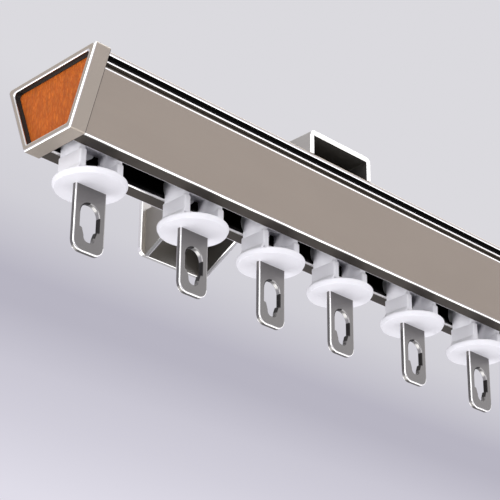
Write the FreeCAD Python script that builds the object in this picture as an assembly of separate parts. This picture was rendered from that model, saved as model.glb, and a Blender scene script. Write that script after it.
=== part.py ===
import FreeCAD, Part
import math
import os
from FreeCAD import Vector

# Curtain track on two wall brackets, with wheeled gliders and capped ends.
# Millimetres. X runs along the track, +Y points into the wall, +Z is up.
# The origin is on the wall, in the middle of the four wall holes.
# In a section, depth is measured down from the top face of the profile.

# Directions and what counts as the same
ALONG, ACROSS, UP = Vector(1, 0, 0), Vector(0, 1, 0), Vector(0, 0, 1)
same_place = 0.01

# Whole track
track_length = 500.0
wall_to_axis = 53.4
holes_above_track = 19.9

# Aluminium profile
profile_top_width = 34.2
profile_bottom_width = 17.6
profile_height = 20.4
face_wall = 1.4
slot_width = 8.0
lip_thickness = 1.5
groove_depth = 1.6
groove_wall = 1.2
first_groove_from_top = 0.9
first_groove_height = 1.4
rib_height = 0.4
second_groove_height = 0.75

# Slot in the top of the profile, for the bracket's nut
top_slot_mouth = 8.0
top_slot_width = 16.0
top_slot_height = 5.6
top_lip_thickness = 1.45
top_slot_wall = 1.3
web_thickness = 1.4

# Round ports in the profile's upper corners, their walls sunk in the slot's
port_depth = 4.2
port_radius = 1.2
port_wall = 1.0
port_sink = 0.46

# End caps and their leather
cap_thickness = 5.1
cap_side_margin = 0.55
cap_top_margin = 0.75
cap_bottom_margin = 0.2
cap_rim = 1.7
cap_corner_radius = 0.8
recess_corner_radius = 0.9
leather_sunk = 1.65
leather_thickness = 1.2
leather_clearance = 0.1

# Pegs of the caps, pressed into the profile's ports
peg_length = 8.0
peg_clearance = 0.02

# Folded brackets
bracket_from_end = 90.4
sheet = 1.5
arm_width = 25.0
arm_rise = 7.4
arm_bend_radius = 1.8
wall_plate_width = 28.3
wall_plate_drop = 9.0
wall_plate_rise = 35.0
wall_plate_corner = 2.5
plate_bend_radius = 1.2
gusset_slope = 0.54
wall_hole_spacing = 15.0
wall_hole_radius = 2.4

# Clamp of each bracket: a screw and a nut in the top slot
clamp_screw_radius = 2.0
clamp_hole_clearance = 0.25
clamp_head_radius = 3.9
clamp_head_height = 2.3
drive_sides = 6
drive_radius = 1.5
drive_depth = 1.3
nut_length = 12.0
nut_thickness = 3.0
nut_side_clearance = 0.4
nut_corner = 1.5
screw_past_nut = 0.4

# Gliders, by their distance from the left end of the track
glider_places = [14.7, 50.1, 79.4, 107.8, 139.9, 171.2, 202.8]
neck_clearance = 0.3
neck_length = 14.2
post_length = 2.1
shoulder_gap = 0.7
shoulder_step = 0.8
post_foot_height = 2.0
post_foot_step = 1.1
flange_radius = 9.65
flange_drop = 8.65
flange_rim_height = 1.6
boss_width = 4.6
boss_rise = 1.7
bridge_corner = 1.6
bearing_wall = 1.2

# Wheelsets: two wheels moulded with their axle, in a snap bearing
wheel_radius = 4.6
wheel_width = 3.2
wheel_clearance = 0.35
wheel_gap_to_lip = 0.1
axle_radius = 1.3
axle_running_fit = 0.08
snap_throat = 2.2

# Steel hook plates
plate_width = 9.9
plate_sheet = 1.5
plate_drop = 18.1
plate_tang = 3.0
plate_corner = 2.8
keyhole_width = 6.0
keyhole_from_flange = 4.5
keyhole_straight_end = 11.4
keyhole_bottom = 15.1
keyhole_neck_radius = 1.6
keyhole_shoulder = 0.7

# Places that follow from the sizes above
lean = (profile_top_width - profile_bottom_width) / 2 / profile_height
lean_stretch = math.sqrt(1 + lean * lean)
left_end = -track_length / 2
profile_top = -holes_above_track
profile_bottom = profile_top - profile_height
axis_y = -wall_to_axis
flange_bottom = profile_bottom - flange_drop
flange_top = flange_bottom + flange_rim_height
axle_z = profile_bottom + lip_thickness + wheel_gap_to_lip + wheel_radius
neck_half = slot_width / 2 - neck_clearance
wheel_inner = neck_half + wheel_clearance
wheel_outer = wheel_inner + wheel_width
bracket_places = [left_end + bracket_from_end, -left_end - bracket_from_end]
port_centre = top_slot_width / 2 + top_slot_wall - port_sink + port_wall + port_radius


def half_width(depth):
    """Half the profile's outside width at a depth below its top."""
    return profile_top_width / 2 - depth * lean


def polygon_face(points):
    """Flat face inside a closed outline of corner points."""
    return Part.Face(Part.makePolygon(points + [points[0]]))


def section_face(points):
    """Face across the track from (y from the track's middle, depth) corners."""
    return polygon_face([Vector(0, axis_y + y, profile_top - depth) for y, depth in points])


def mirrored(points):
    """The same outline on the other side of the track's middle."""
    return [(-y, depth) for y, depth in points]


def box(x_low, x_high, y_low, y_high, z_low, z_high):
    """Box between two corners."""
    return Part.makeBox(x_high - x_low, y_high - y_low, z_high - z_low, Vector(x_low, y_low, z_low))


def disc(radius, x, y, z, height, direction):
    """Round bar that starts at a point and runs along a direction."""
    return Part.makeCylinder(radius, height, Vector(x, y, z), direction)


def edges_along(shape, direction, keep):
    """Straight edges of a shape along a direction whose middle passes a test."""
    chosen = []
    for edge in shape.Edges:
        ends = [vertex.Point for vertex in edge.Vertexes]
        if len(ends) == 2 and isinstance(edge.Curve, Part.Line):
            run = (ends[1] - ends[0]).normalize()
            if run.cross(direction).Length < same_place and keep((ends[0] + ends[1]) * 0.5):
                chosen.append(edge)
    return chosen


def groove_outline(top_depth, bottom_depth):
    """Groove in the slanted side, cut level and as far past the outside as it is deep."""
    top, bottom = half_width(top_depth), half_width(bottom_depth)
    return [(top - groove_depth, top_depth), (top + groove_depth, top_depth),
            (bottom + groove_depth, bottom_depth), (bottom - groove_depth, bottom_depth)]


def profile_section():
    """Cross-section of the aluminium extrusion."""
    top_half = profile_top_width / 2
    bottom_half = profile_bottom_width / 2
    section = section_face([(-top_half, 0), (top_half, 0), (bottom_half, profile_height),
                            (-bottom_half, profile_height)])
    slot_floor = top_lip_thickness + top_slot_height
    ceiling = slot_floor + web_thickness
    lip_top = profile_height - lip_thickness
    mouth, wide = top_slot_mouth / 2, top_slot_width / 2
    top_slot = [(-mouth, 0), (mouth, 0), (mouth, top_lip_thickness), (wide, top_lip_thickness),
                (wide, slot_floor), (-wide, slot_floor), (-wide, top_lip_thickness),
                (-mouth, top_lip_thickness)]
    inside = face_wall * lean_stretch
    slot = slot_width / 2
    channel_top, channel_low = half_width(ceiling) - inside, half_width(lip_top) - inside
    channel = [(-channel_top, ceiling), (channel_top, ceiling), (channel_low, lip_top), (slot, lip_top),
               (slot, profile_height), (-slot, profile_height), (-slot, lip_top), (-channel_low, lip_top)]
    tools = [section_face(top_slot), section_face(channel)]

    second_groove = first_groove_from_top + first_groove_height + rib_height
    grooves = [groove_outline(first_groove_from_top, first_groove_from_top + first_groove_height),
               groove_outline(second_groove, second_groove + second_groove_height)]
    chamber_wall = groove_depth + groove_wall
    chamber_inner = wide + top_slot_wall
    chamber = [(chamber_inner, top_lip_thickness),
               (half_width(top_lip_thickness) - chamber_wall, top_lip_thickness),
               (half_width(slot_floor) - chamber_wall, slot_floor), (chamber_inner, slot_floor)]
    for side in (1, -1):
        for outline in grooves:
            tools.append(section_face(outline if side > 0 else mirrored(outline)))
        port = Vector(0, axis_y + side * port_centre, profile_top - port_depth)
        ring = Part.Face(Part.Wire(Part.makeCircle(port_radius + port_wall, port, ALONG)))
        hole = Part.Face(Part.Wire(Part.makeCircle(port_radius, port, ALONG)))
        tools.append(section_face(chamber if side > 0 else mirrored(chamber)).cut(ring))
        tools.append(hole)
    return section.cut(tools)


def track_profile():
    """Extrusion between the two end caps."""
    solid = profile_section().extrude(ALONG * (track_length - 2 * cap_thickness))
    solid.translate(ALONG * (left_end + cap_thickness))
    return solid


def cap_outline(inset):
    """Outline of the cap, moved inwards by an even distance."""
    top, bottom = inset - cap_top_margin, profile_height + cap_bottom_margin - inset
    margin = cap_side_margin - inset * lean_stretch
    top_half, bottom_half = half_width(top) + margin, half_width(bottom) + margin
    return [(-top_half, top), (top_half, top), (bottom_half, bottom), (-bottom_half, bottom)]


def cap_slab(inset, thickness, radius):
    """Slab of the cap's shape with rounded corners, from the track's end inwards."""
    slab = section_face(cap_outline(inset)).extrude(ALONG * thickness)
    return slab.makeFillet(radius, edges_along(slab, ALONG, lambda middle: True))


def end_cap(side):
    """Cast cap: a rim round a recess, and two pegs behind its floor."""
    cap = cap_slab(0, cap_thickness, cap_corner_radius)
    cap = cap.cut(cap_slab(cap_rim, leather_sunk + leather_thickness, recess_corner_radius))
    pegs = [disc(port_radius - peg_clearance, cap_thickness, axis_y + port_side * port_centre,
                 profile_top - port_depth, peg_length, ALONG) for port_side in (1, -1)]
    return at_end(cap.fuse(pegs), side)


def at_end(solid, side):
    """Move a piece made at x = 0 to the left end, or mirror it to the right end."""
    solid = solid.copy()
    solid.translate(ALONG * left_end)
    return solid if side < 0 else solid.mirror(Vector(0, 0, 0), ALONG)


def leather_inlay(side):
    """Leather panel glued on the floor of the cap's recess."""
    panel = cap_slab(cap_rim + leather_clearance, leather_thickness, recess_corner_radius)
    panel.translate(ALONG * leather_sunk)
    return at_end(panel, side)


def arm_side(y_front, z_top):
    """Side outline of the arm: level under the track, then sloping down to the foot of the wall plate."""
    gusset_front = -sheet - wall_plate_drop / gusset_slope
    return [(y_front, profile_top), (y_front, z_top), (-sheet, z_top),
            (-sheet, profile_top - wall_plate_drop), (gusset_front, profile_top)]


def arm_solid(x, half, z_top, radius):
    """Bar with the arm's side outline and rounded upper corners."""
    front = axis_y - profile_top_width / 2
    outline = [Vector(x - half, y, z) for y, z in arm_side(front, z_top)]
    bar = polygon_face(outline).extrude(ALONG * 2 * half)
    return bar.makeFillet(radius, edges_along(bar, ACROSS, lambda middle: abs(middle.z - z_top) < same_place))


def bracket(x):
    """Folded steel bracket: an arm over the track, gussets and a wall plate."""
    arm_top = profile_top + arm_rise
    half = arm_width / 2
    hollow = arm_solid(x, half - sheet, arm_top - sheet, arm_bend_radius - sheet)
    arm = arm_solid(x, half, arm_top, arm_bend_radius).cut(hollow)

    plate_half = wall_plate_width / 2
    plate = box(x - plate_half, x + plate_half, -sheet, 0, profile_top - wall_plate_drop,
                profile_top + wall_plate_rise)
    plate = plate.makeFillet(wall_plate_corner, edges_along(plate, ACROSS, lambda middle: True))

    bend_low = Vector(x - half + arm_bend_radius, -sheet, arm_top)
    bend_front = bend_low - ACROSS * plate_bend_radius
    bend_top = bend_low + UP * plate_bend_radius
    centre = bend_front + UP * plate_bend_radius
    bend_middle = centre + (ACROSS - UP) * (plate_bend_radius * math.sqrt(0.5))
    bend = Part.Wire([Part.makeLine(bend_low, bend_front),
                      Part.Arc(bend_front, bend_middle, bend_top).toShape(),
                      Part.makeLine(bend_top, bend_low)])
    bend = Part.Face(bend).extrude(ALONG * (arm_width - 2 * arm_bend_radius))
    solid = arm.fuse([plate, bend]).removeSplitter()

    holes = [disc(wall_hole_radius, x, -sheet, side * wall_hole_spacing / 2, sheet, ACROSS)
             for side in (-1, 1)]
    holes.append(disc(clamp_screw_radius + clamp_hole_clearance, x, axis_y, arm_top - sheet, sheet, UP))
    return solid.cut(holes)


def clamp_screw(x):
    """Pan-head screw from the arm's top down through the nut."""
    arm_top = profile_top + arm_rise
    length = arm_rise + top_lip_thickness + nut_thickness + screw_past_nut
    shank = disc(clamp_screw_radius, x, axis_y, arm_top - length, length, UP)
    head = disc(clamp_head_radius, x, axis_y, arm_top, clamp_head_height, UP)
    turns = [2 * math.pi * number / drive_sides for number in range(drive_sides)]
    drive = polygon_face([Vector(x + drive_radius * math.cos(turn), axis_y + drive_radius * math.sin(turn),
                                 arm_top + clamp_head_height - drive_depth) for turn in turns])
    return shank.fuse(head).removeSplitter().cut(drive.extrude(UP * drive_depth))


def slot_nut(x):
    """Flat nut that hangs under the lips of the top slot."""
    half_y = top_slot_width / 2 - nut_side_clearance
    half_x = nut_length / 2
    top = profile_top - top_lip_thickness
    nut = box(x - half_x, x + half_x, axis_y - half_y, axis_y + half_y, top - nut_thickness, top)
    nut = nut.makeChamfer(nut_corner, edges_along(nut, UP, lambda middle: True))
    return nut.cut(disc(clamp_screw_radius, x, axis_y, top - nut_thickness, nut_thickness, UP))


def carrier(x):
    """Moulded glider: a round flange, two posts through the slot and a bridge with the snap bearing."""
    outer, inner = neck_length / 2, neck_length / 2 - post_length
    shoulder = profile_bottom - shoulder_gap
    foot_top = flange_top + post_foot_height
    bearing_radius = axle_radius + axle_running_fit
    bridge_top = axle_z + bearing_radius + bearing_wall
    bridge_bottom = axle_z - bearing_radius - bearing_wall
    wide_half = neck_half + shoulder_step
    solids = [disc(flange_radius, x, axis_y, flange_bottom, flange_rim_height, UP)]
    for side in (-1, 1):
        foot = [(inner, flange_top), (outer + post_foot_step, flange_top), (outer, foot_top),
                (outer, shoulder), (inner, shoulder)]
        face = polygon_face([Vector(x + side * along, axis_y - wide_half, z) for along, z in foot])
        solids.append(face.extrude(ACROSS * 2 * wide_half))
        ends = sorted((x + side * inner, x + side * outer))
        solids.append(box(ends[0], ends[1], axis_y - neck_half, axis_y + neck_half, shoulder, bridge_top))
    solids.append(box(x - inner, x + inner, axis_y - neck_half, axis_y + neck_half,
                      bridge_bottom, bridge_top))
    solids.append(box(x - inner, x + inner, axis_y - boss_width / 2, axis_y + boss_width / 2,
                      flange_top, flange_top + boss_rise))
    solid = solids[0].fuse(solids[1:]).removeSplitter()
    ends = edges_along(solid, ACROSS, lambda middle: abs(middle.z - bridge_top) < same_place)
    solid = solid.makeChamfer(bridge_corner, ends)
    bearing = disc(bearing_radius, x, axis_y - neck_half, axle_z, 2 * neck_half, ACROSS)
    throat = box(x - snap_throat / 2, x + snap_throat / 2, axis_y - neck_half, axis_y + neck_half,
                 axle_z, bridge_top)
    return solid.cut([bearing, throat, tang_box(x)])


def tang_box(x):
    """The part of the hook plate that is moulded into the flange."""
    return box(x - plate_width / 2, x + plate_width / 2, axis_y - plate_sheet / 2, axis_y + plate_sheet / 2,
               flange_bottom, flange_bottom + plate_tang)


def wheelset(x):
    """Front and rear wheel, turned in one piece with the axle between them."""
    turned = [(0, -wheel_outer), (wheel_radius, -wheel_outer), (wheel_radius, -wheel_inner),
              (axle_radius, -wheel_inner), (axle_radius, wheel_inner), (wheel_radius, wheel_inner),
              (wheel_radius, wheel_outer), (0, wheel_outer)]
    outline = polygon_face([Vector(x + radius, axis_y + across, axle_z) for radius, across in turned])
    return outline.revolve(Vector(x, axis_y, axle_z), ACROSS, 360)


def keyhole(x):
    """Hole for the curtain's hook: round above, stepped in to a narrow round end below."""
    y = axis_y - plate_sheet / 2
    half = keyhole_width / 2
    neck = keyhole_neck_radius
    top_centre = flange_bottom - keyhole_from_flange - half
    step_z = flange_bottom - keyhole_straight_end
    low_centre = flange_bottom - keyhole_bottom + neck

    def point(along, z):
        return Vector(x + along, y, z)

    step = half - keyhole_shoulder
    edges = [
        Part.Arc(point(half, top_centre), point(0, top_centre + half), point(-half, top_centre)).toShape(),
        Part.makeLine(point(-half, top_centre), point(-half, step_z)),
        Part.makeLine(point(-half, step_z), point(-step, step_z)),
        Part.makeLine(point(-step, step_z), point(-neck, low_centre)),
        Part.Arc(point(-neck, low_centre), point(0, low_centre - neck), point(neck, low_centre)).toShape(),
        Part.makeLine(point(neck, low_centre), point(step, step_z)),
        Part.makeLine(point(step, step_z), point(half, step_z)),
        Part.makeLine(point(half, step_z), point(half, top_centre)),
    ]
    return Part.Face(Part.Wire(edges)).extrude(ACROSS * plate_sheet)


def hook_plate(x):
    """Stamped steel plate with rounded lower corners and a keyhole."""
    plate = box(x - plate_width / 2, x + plate_width / 2, axis_y - plate_sheet / 2, axis_y + plate_sheet / 2,
                flange_bottom - plate_drop, flange_bottom)
    corners = edges_along(plate, ACROSS, lambda middle: middle.z < flange_bottom - plate_drop / 2)
    plate = plate.makeFillet(plate_corner, corners)
    return plate.fuse(tang_box(x)).removeSplitter().cut(keyhole(x))


def export(shape, node):
    """Write one node as a STEP file."""
    shape.exportStep(os.path.join("parts", node + ".step"))


def main():
    """Build every node of the track."""
    os.makedirs("parts", exist_ok=True)
    export(track_profile(), "track_profile")
    for name, side, place in (("left", -1, bracket_places[0]), ("right", 1, bracket_places[1])):
        export(end_cap(side), "end_cap_" + name)
        export(leather_inlay(side), "leather_inlay_" + name)
        export(bracket(place), "bracket_" + name)
        export(clamp_screw(place), "clamp_screw_" + name)
        export(slot_nut(place), "slot_nut_" + name)
    for number, place in enumerate(glider_places, start=1):
        x = left_end + place
        export(carrier(x), "carrier_%d" % number)
        export(hook_plate(x), "hook_plate_%d" % number)
        export(wheelset(x), "wheelset_%d" % number)


main()
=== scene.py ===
"""Looks of a curtain track: metals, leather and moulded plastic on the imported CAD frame.

Lengths are in metres. X runs along the track, +Y points into the wall and +Z is up.
"""

import math

import bmesh
import bpy
import numpy as np
from mathutils import Matrix, Vector
from mathutils.geometry import tessellate_polygon


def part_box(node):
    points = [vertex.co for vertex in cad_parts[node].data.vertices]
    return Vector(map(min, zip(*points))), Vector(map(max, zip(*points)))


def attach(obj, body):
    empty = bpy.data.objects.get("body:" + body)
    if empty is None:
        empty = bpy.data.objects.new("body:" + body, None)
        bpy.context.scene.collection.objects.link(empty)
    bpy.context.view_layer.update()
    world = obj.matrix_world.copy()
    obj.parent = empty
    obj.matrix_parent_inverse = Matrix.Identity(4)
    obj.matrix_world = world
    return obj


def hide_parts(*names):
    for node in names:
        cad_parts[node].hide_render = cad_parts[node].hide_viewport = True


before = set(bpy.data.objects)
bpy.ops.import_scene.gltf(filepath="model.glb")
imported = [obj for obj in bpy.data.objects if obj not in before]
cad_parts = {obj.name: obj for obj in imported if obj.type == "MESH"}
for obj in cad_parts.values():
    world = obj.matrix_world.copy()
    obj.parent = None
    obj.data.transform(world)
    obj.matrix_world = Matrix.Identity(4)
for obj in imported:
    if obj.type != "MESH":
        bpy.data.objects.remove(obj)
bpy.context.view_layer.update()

bl_info = {
    "name": "Curtain track finishes",
    "version": (1, 0, 0),
    "blender": (4, 5, 0),
    "location": "3D View > Sidebar > Curtain Track",
    "description": "Rounded edges, capped ends, leather, plastic and metal finishes for a curtain track",
    "category": "Object",
}

MM = 0.001
SIDES = {"left": -1, "right": 1}
GLIDERS = sorted(int(name.split("_")[1]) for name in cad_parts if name.startswith("carrier_"))
# Distance from an arc to the holding points beside it
HOLD = 0.03 * MM
# Radius of corners that look sharp
SHARP = 0.06 * MM
# Steps in a rounded corner, and the angles of a quarter arc
ARC_STEPS = 7
QUARTER = np.linspace(0.0, math.pi / 2, ARC_STEPS + 1)
# Name of the mesh attribute that paints light: above 0 a painted highlight on edges, below 0 painted shade in
# grooves, recesses and undersides
TONE = "tone"


# Sizes, colours and stage values that a user would change


def length(name, description, default_mm, highest_mm=10.0):
    """A property that holds a length, given here in millimetres."""
    return bpy.props.FloatProperty(name=name, description=description, default=default_mm * MM, min=0.0,
                                   max=highest_mm * MM, precision=5, unit="LENGTH", subtype="DISTANCE")


def colour(name, description, default):
    """A property that holds a linear colour."""
    return bpy.props.FloatVectorProperty(name=name, description=description, default=default, min=0.0,
                                         max=1.0, size=3, subtype="COLOR")


def amount(name, description, default, highest=1.0):
    """A property that holds a plain number."""
    return bpy.props.FloatProperty(name=name, description=description, default=default, min=0.0, max=highest)


def turn(name, description, default_degrees):
    """A property that holds an angle, given here in degrees."""
    return bpy.props.FloatProperty(name=name, description=description, default=math.radians(default_degrees),
                                   unit="ROTATION", subtype="ANGLE")


class CurtainTrackProfileSizes(bpy.types.PropertyGroup):
    """Cross-section of the aluminium profile; its outer width, height and length come from the CAD node."""

    bottom_width: length("Bottom width", "Width of the profile's underside", 17.6, 100.0)
    wall: length("Wall", "Thickness of the slanted sides", 1.4)
    slot: length("Slot", "Width of the lower slot that the gliders hang through", 8.0, 30.0)
    lip: length("Lip", "Thickness of the two lips beside the slot", 1.5)
    groove_depth: length("Groove depth", "How far both grooves go in", 1.6)
    groove_top: length("First groove from top", "From the top down to the first groove", 0.9)
    groove_height: length("First groove height", "Height of the first groove", 1.4)
    rib: length("Rib", "Height of the rib between the grooves", 0.4)
    second_groove: length("Second groove height", "Height of the second groove", 0.75)
    top_mouth: length("Top slot mouth", "Width of the top slot's mouth", 8.0, 30.0)
    top_slot: length("Top slot width", "Width of the top slot inside", 16.0, 30.0)
    top_lip: length("Top lip", "Thickness of the lips beside the top slot", 1.45)
    top_floor: length("Top slot floor", "From the top down to the top slot's floor", 7.05, 20.0)
    web: length("Web", "Thickness of the wall between the top slot and the channel", 1.4)
    port_radius: length("Port radius", "Radius of the round ports that take the caps' pegs", 1.2)
    port_place: length("Port place", "From the track's middle to each port", 11.04, 30.0)
    port_depth: length("Port depth", "From the top down to each port", 4.2)
    rim_edge: length("Rim edge", "Rounding of the strip above the first groove", 0.34)
    rib_edge: length("Rib edge", "Rounding of the rib", 0.17)
    face_edge: length("Face edge", "Rounding of the upper and lower edge of the face", 0.6)
    slot_edge: length("Slot edge", "Rounding of the lips at the slot", 0.45)


class CurtainTrackSizes(bpy.types.PropertyGroup):
    """Sizes of the other pieces that the looks add or repeat."""

    cap_top: length("Cap above profile", "How far a cap stands above the profile", 0.75)
    cap_bottom: length("Cap below profile", "How far a cap stands below the profile", 0.2)
    cap_side: length("Cap beside profile", "How far a cap stands out beside the profile", 0.55)
    cap_thickness: length("Cap thickness", "Thickness of a cap along the track", 5.1, 30.0)
    cap_corner: length("Cap corner", "Radius of a cap's corners", 0.6)
    cap_edge: length("Cap edge", "Rounding of a cap's outer edges", 0.42)
    cap_back_edge: length("Cap back edge", "Rounding of a cap's edge at the profile", 0.22)
    cap_rim: length("Cap rim", "Width of the rim round the leather", 1.7)
    recess_edge: length("Recess edge", "Rounding of the edge round the recess", 0.32)
    recess_corner: length("Recess corner", "Radius of the recess's corners", 0.9)
    recess_depth: length("Recess depth", "Depth of the recess that holds the leather", 2.85)
    peg_length: length("Peg length", "Length of the pegs behind a cap", 8.0, 30.0)
    leather_gap: length("Leather gap", "Gap between the leather and the recess", 0.1)
    leather_sunk: length("Leather sunk", "How far the leather's face lies below the rim", 1.65)
    leather_edge: length("Leather edge", "Rounding of the leather's cut edge", 0.5)
    leather_crown: length("Leather crown", "How far the middle of the leather stands up", 0.2)
    sheet: length("Sheet", "Thickness of the brackets' steel", 1.5)
    arm_width: length("Arm width", "Width of a bracket's arm", 25.0, 100.0)
    arm_rise: length("Arm rise", "Height of a bracket's arm above the profile", 7.4, 50.0)
    arm_bend: length("Arm bend", "Outer radius of the arm's folds", 1.8)
    wall_plate_drop: length("Wall plate drop", "How far a wall plate goes below the profile's top", 9.0, 50.0)
    wall_plate_corner: length("Wall plate corner", "Radius of a wall plate's corners", 2.5)
    wall_plate_bend: length("Wall plate bend", "Radius between the arm and the wall plate", 1.2)
    wall_hole: length("Wall hole", "Radius of the wall holes", 2.4)
    wall_hole_spacing: length("Wall hole spacing", "Distance between the two wall holes", 15.0, 60.0)
    gusset: length("Gusset", "How far a gusset reaches in front of the wall plate", 16.667, 100.0)
    bracket_edge: length("Bracket edge", "Rounding of the folded steel's cut edges", 0.22)
    screw_edge: length("Screw edge", "Rounding of the screw heads' edges", 0.3)
    flange_drop: length("Flange drop", "From the profile down to the underside of a flange", 8.65, 50.0)
    flange_height: length("Flange height", "Height of a flange at its rim", 1.6)
    flange_radius: length("Flange radius", "Radius of a flange", 9.65, 50.0)
    neck: length("Neck", "Length of a glider's neck along the track", 14.2, 50.0)
    post: length("Post", "Thickness of each post of a glider", 2.1)
    post_width: length("Post width", "Width of a post across the track", 9.0, 50.0)
    post_foot: length("Post foot", "How far a post's foot steps out", 1.1)
    foot_height: length("Foot height", "Height of a post's foot", 2.0)
    shoulder_gap: length("Shoulder gap", "Gap between a post's shoulder and the profile", 0.7)
    slot_fit: length("Slot fit", "Play of the neck on each side of the slot", 0.3)
    axle_rise: length("Axle rise", "From the profile's underside up to the axle", 6.2, 30.0)
    bearing: length("Bearing", "Radius of the snap bearing", 1.38)
    bearing_wall: length("Bearing wall", "Thickness of the bearing's wall", 1.2)
    throat: length("Throat", "Width of the bearing's snap opening", 2.2)
    bridge_corner: length("Bridge corner", "Cut corners of a glider's bridge", 1.6)
    plastic_edge: length("Plastic edge", "Rounding of the moulded carriers' edges", 0.4)
    plate_width: length("Plate width", "Width of a hook plate", 9.9, 50.0)
    plate_drop: length("Plate drop", "How far a hook plate hangs below its flange", 18.1, 80.0)
    plate_tang: length("Plate tang", "The part of a hook plate inside its flange", 3.0)
    plate_sheet: length("Plate sheet", "Thickness of a hook plate", 1.5)
    plate_corner: length("Plate corner", "Radius of a hook plate's lower corners", 2.8)
    plate_edge: length("Plate edge", "Rounding of a hook plate's stamped edges", 0.26)
    keyhole_width: length("Keyhole width", "Width of the hook hole's upper part", 6.0)
    keyhole_top: length("Keyhole top", "From the flange down to the hook hole", 4.5)
    keyhole_step: length("Keyhole step", "From the flange down to the hook hole's step", 11.4, 30.0)
    keyhole_low: length("Keyhole bottom", "From the flange down to the hook hole's end", 15.1, 30.0)
    keyhole_neck: length("Keyhole neck", "Half the width of the hook hole's lower end", 1.6)
    keyhole_shoulder: length("Keyhole shoulder", "How far the hook hole steps in", 0.7)


class CurtainTrackColours(bpy.types.PropertyGroup):
    """Colours of the finishes."""

    profile: colour("Profile", "Satin taupe anodised aluminium", (0.385, 0.332, 0.274))
    # Painted shade: this black goes into the grooves, the slot, the channel, the ports, under the profile's
    # lips, inside the brackets' arms and into the keyholes
    groove: colour("Groove", "Black of the grooves and of the channel", (0.012, 0.011, 0.011))
    # Painted highlight: this near-white goes on the rounded and cut edges of the metals
    painted_edge_highlight: colour("Bright edge", "Polished edges of the metal", (0.95, 0.94, 0.92))
    cap: colour("Cap", "Satin champagne metal of the end caps", (0.40, 0.35, 0.296))
    # Painted shade: this dark colour goes on the caps' recess walls and along their back edge against the
    # profile
    recess: colour("Recess", "Dark walls of the caps' recess", (0.03, 0.027, 0.024))
    leather: colour("Leather", "Orange tan leather", (0.44, 0.102, 0.0045))
    leather_crease: colour("Leather crease", "Darker colour in the leather's creases", (0.34, 0.06, 0.004))
    steel: colour("Steel", "Satin plated steel of the brackets", (0.5, 0.48, 0.45))
    plate: colour("Hook plate", "Brushed steel of the hook plates", (0.19, 0.183, 0.178))
    plastic: colour("Plastic", "Cool white moulded plastic", (0.775, 0.765, 0.815))
    wheel: colour("Wheel", "White plastic of the wheels", (0.75, 0.75, 0.77))
    zinc: colour("Zinc", "Zinc plating of the screws and nuts", (0.55, 0.56, 0.57))
    floor: colour("Floor", "Plain pale floor", (0.70, 0.69, 0.72))
    background_high: colour("High background", "Pale background above the track", (0.708, 0.701, 0.737))
    background_dip: colour("Background dip", "Soft shadow in the background, below the track",
                           (0.475, 0.462, 0.54))
    background_low: colour("Low background", "Background well below the track", (0.745, 0.728, 0.812))


class CurtainTrackStage(bpy.types.PropertyGroup):
    """Camera, floor and lights."""

    camera_yaw: turn("Camera yaw", "Heading, from the wall's direction towards the track's", 44.474)
    camera_pitch: turn("Camera pitch", "How far the camera looks up", 25.403)
    camera_roll: turn("Camera roll", "Turn of the camera about its own axis", 0.558)
    camera_place: bpy.props.FloatVectorProperty(
        name="Camera place", description="Where the camera stands", size=3, subtype="TRANSLATION",
        unit="LENGTH", default=(-0.464942, -0.345089, -0.240657))
    camera_lens: bpy.props.FloatProperty(
        name="Camera lens", description="Focal length for a sensor 36 mm wide", default=118.872,
        unit="CAMERA", min=1.0)
    floor_depth: length("Floor depth", "How far the floor lies below the wall holes", 1400.0, 5000.0)
    left_light: amount("Left light", "Power of the lamp to the left, in watts", 5.5, 500.0)
    rear_light: amount("Rear light", "Power of the lamp below, behind and to the left, in watts", 5.5, 500.0)
    top_light: amount("Top light", "Power of the large lamp above, in watts", 12.0, 500.0)
    front_light: amount("Front light", "Power of the lamp in front and to the left, in watts", 7.0, 500.0)
    right_light: amount("Right light", "Power of the lamp in front and to the right, in watts", 2.3, 500.0)
    low_light: amount("Low light", "Power of the lamp below and in front, in watts", 5.0, 500.0)
    ambient: amount("Ambient", "Strength of the even light from all round", 0.5, 10.0)


# Shader maths


class Value:
    """A number in a material. Arithmetic on it adds Math nodes."""

    def __init__(self, finish, socket):
        self.finish = finish
        self.socket = socket

    def math(self, operation, *operands, clamp=False):
        """One Math node of the numbers, in the order given."""
        return self.finish.node("ShaderNodeMath", {"operation": operation, "use_clamp": clamp},
                                dict(enumerate(operands)))

    def __add__(self, other):
        return self.math("ADD", self, other)

    __radd__ = __add__

    def __sub__(self, other):
        return self.math("SUBTRACT", self, other)

    def __rsub__(self, other):
        return self.math("SUBTRACT", other, self)

    def __mul__(self, other):
        return self.math("MULTIPLY", self, other)

    __rmul__ = __mul__

    def positive(self):
        """The number held between 0 and 1."""
        return self.math("MULTIPLY", self, 1.0, clamp=True)

    def negative(self):
        """How far the number lies below 0, held between 0 and 1."""
        return self.math("MULTIPLY", self, -1.0, clamp=True)


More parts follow.
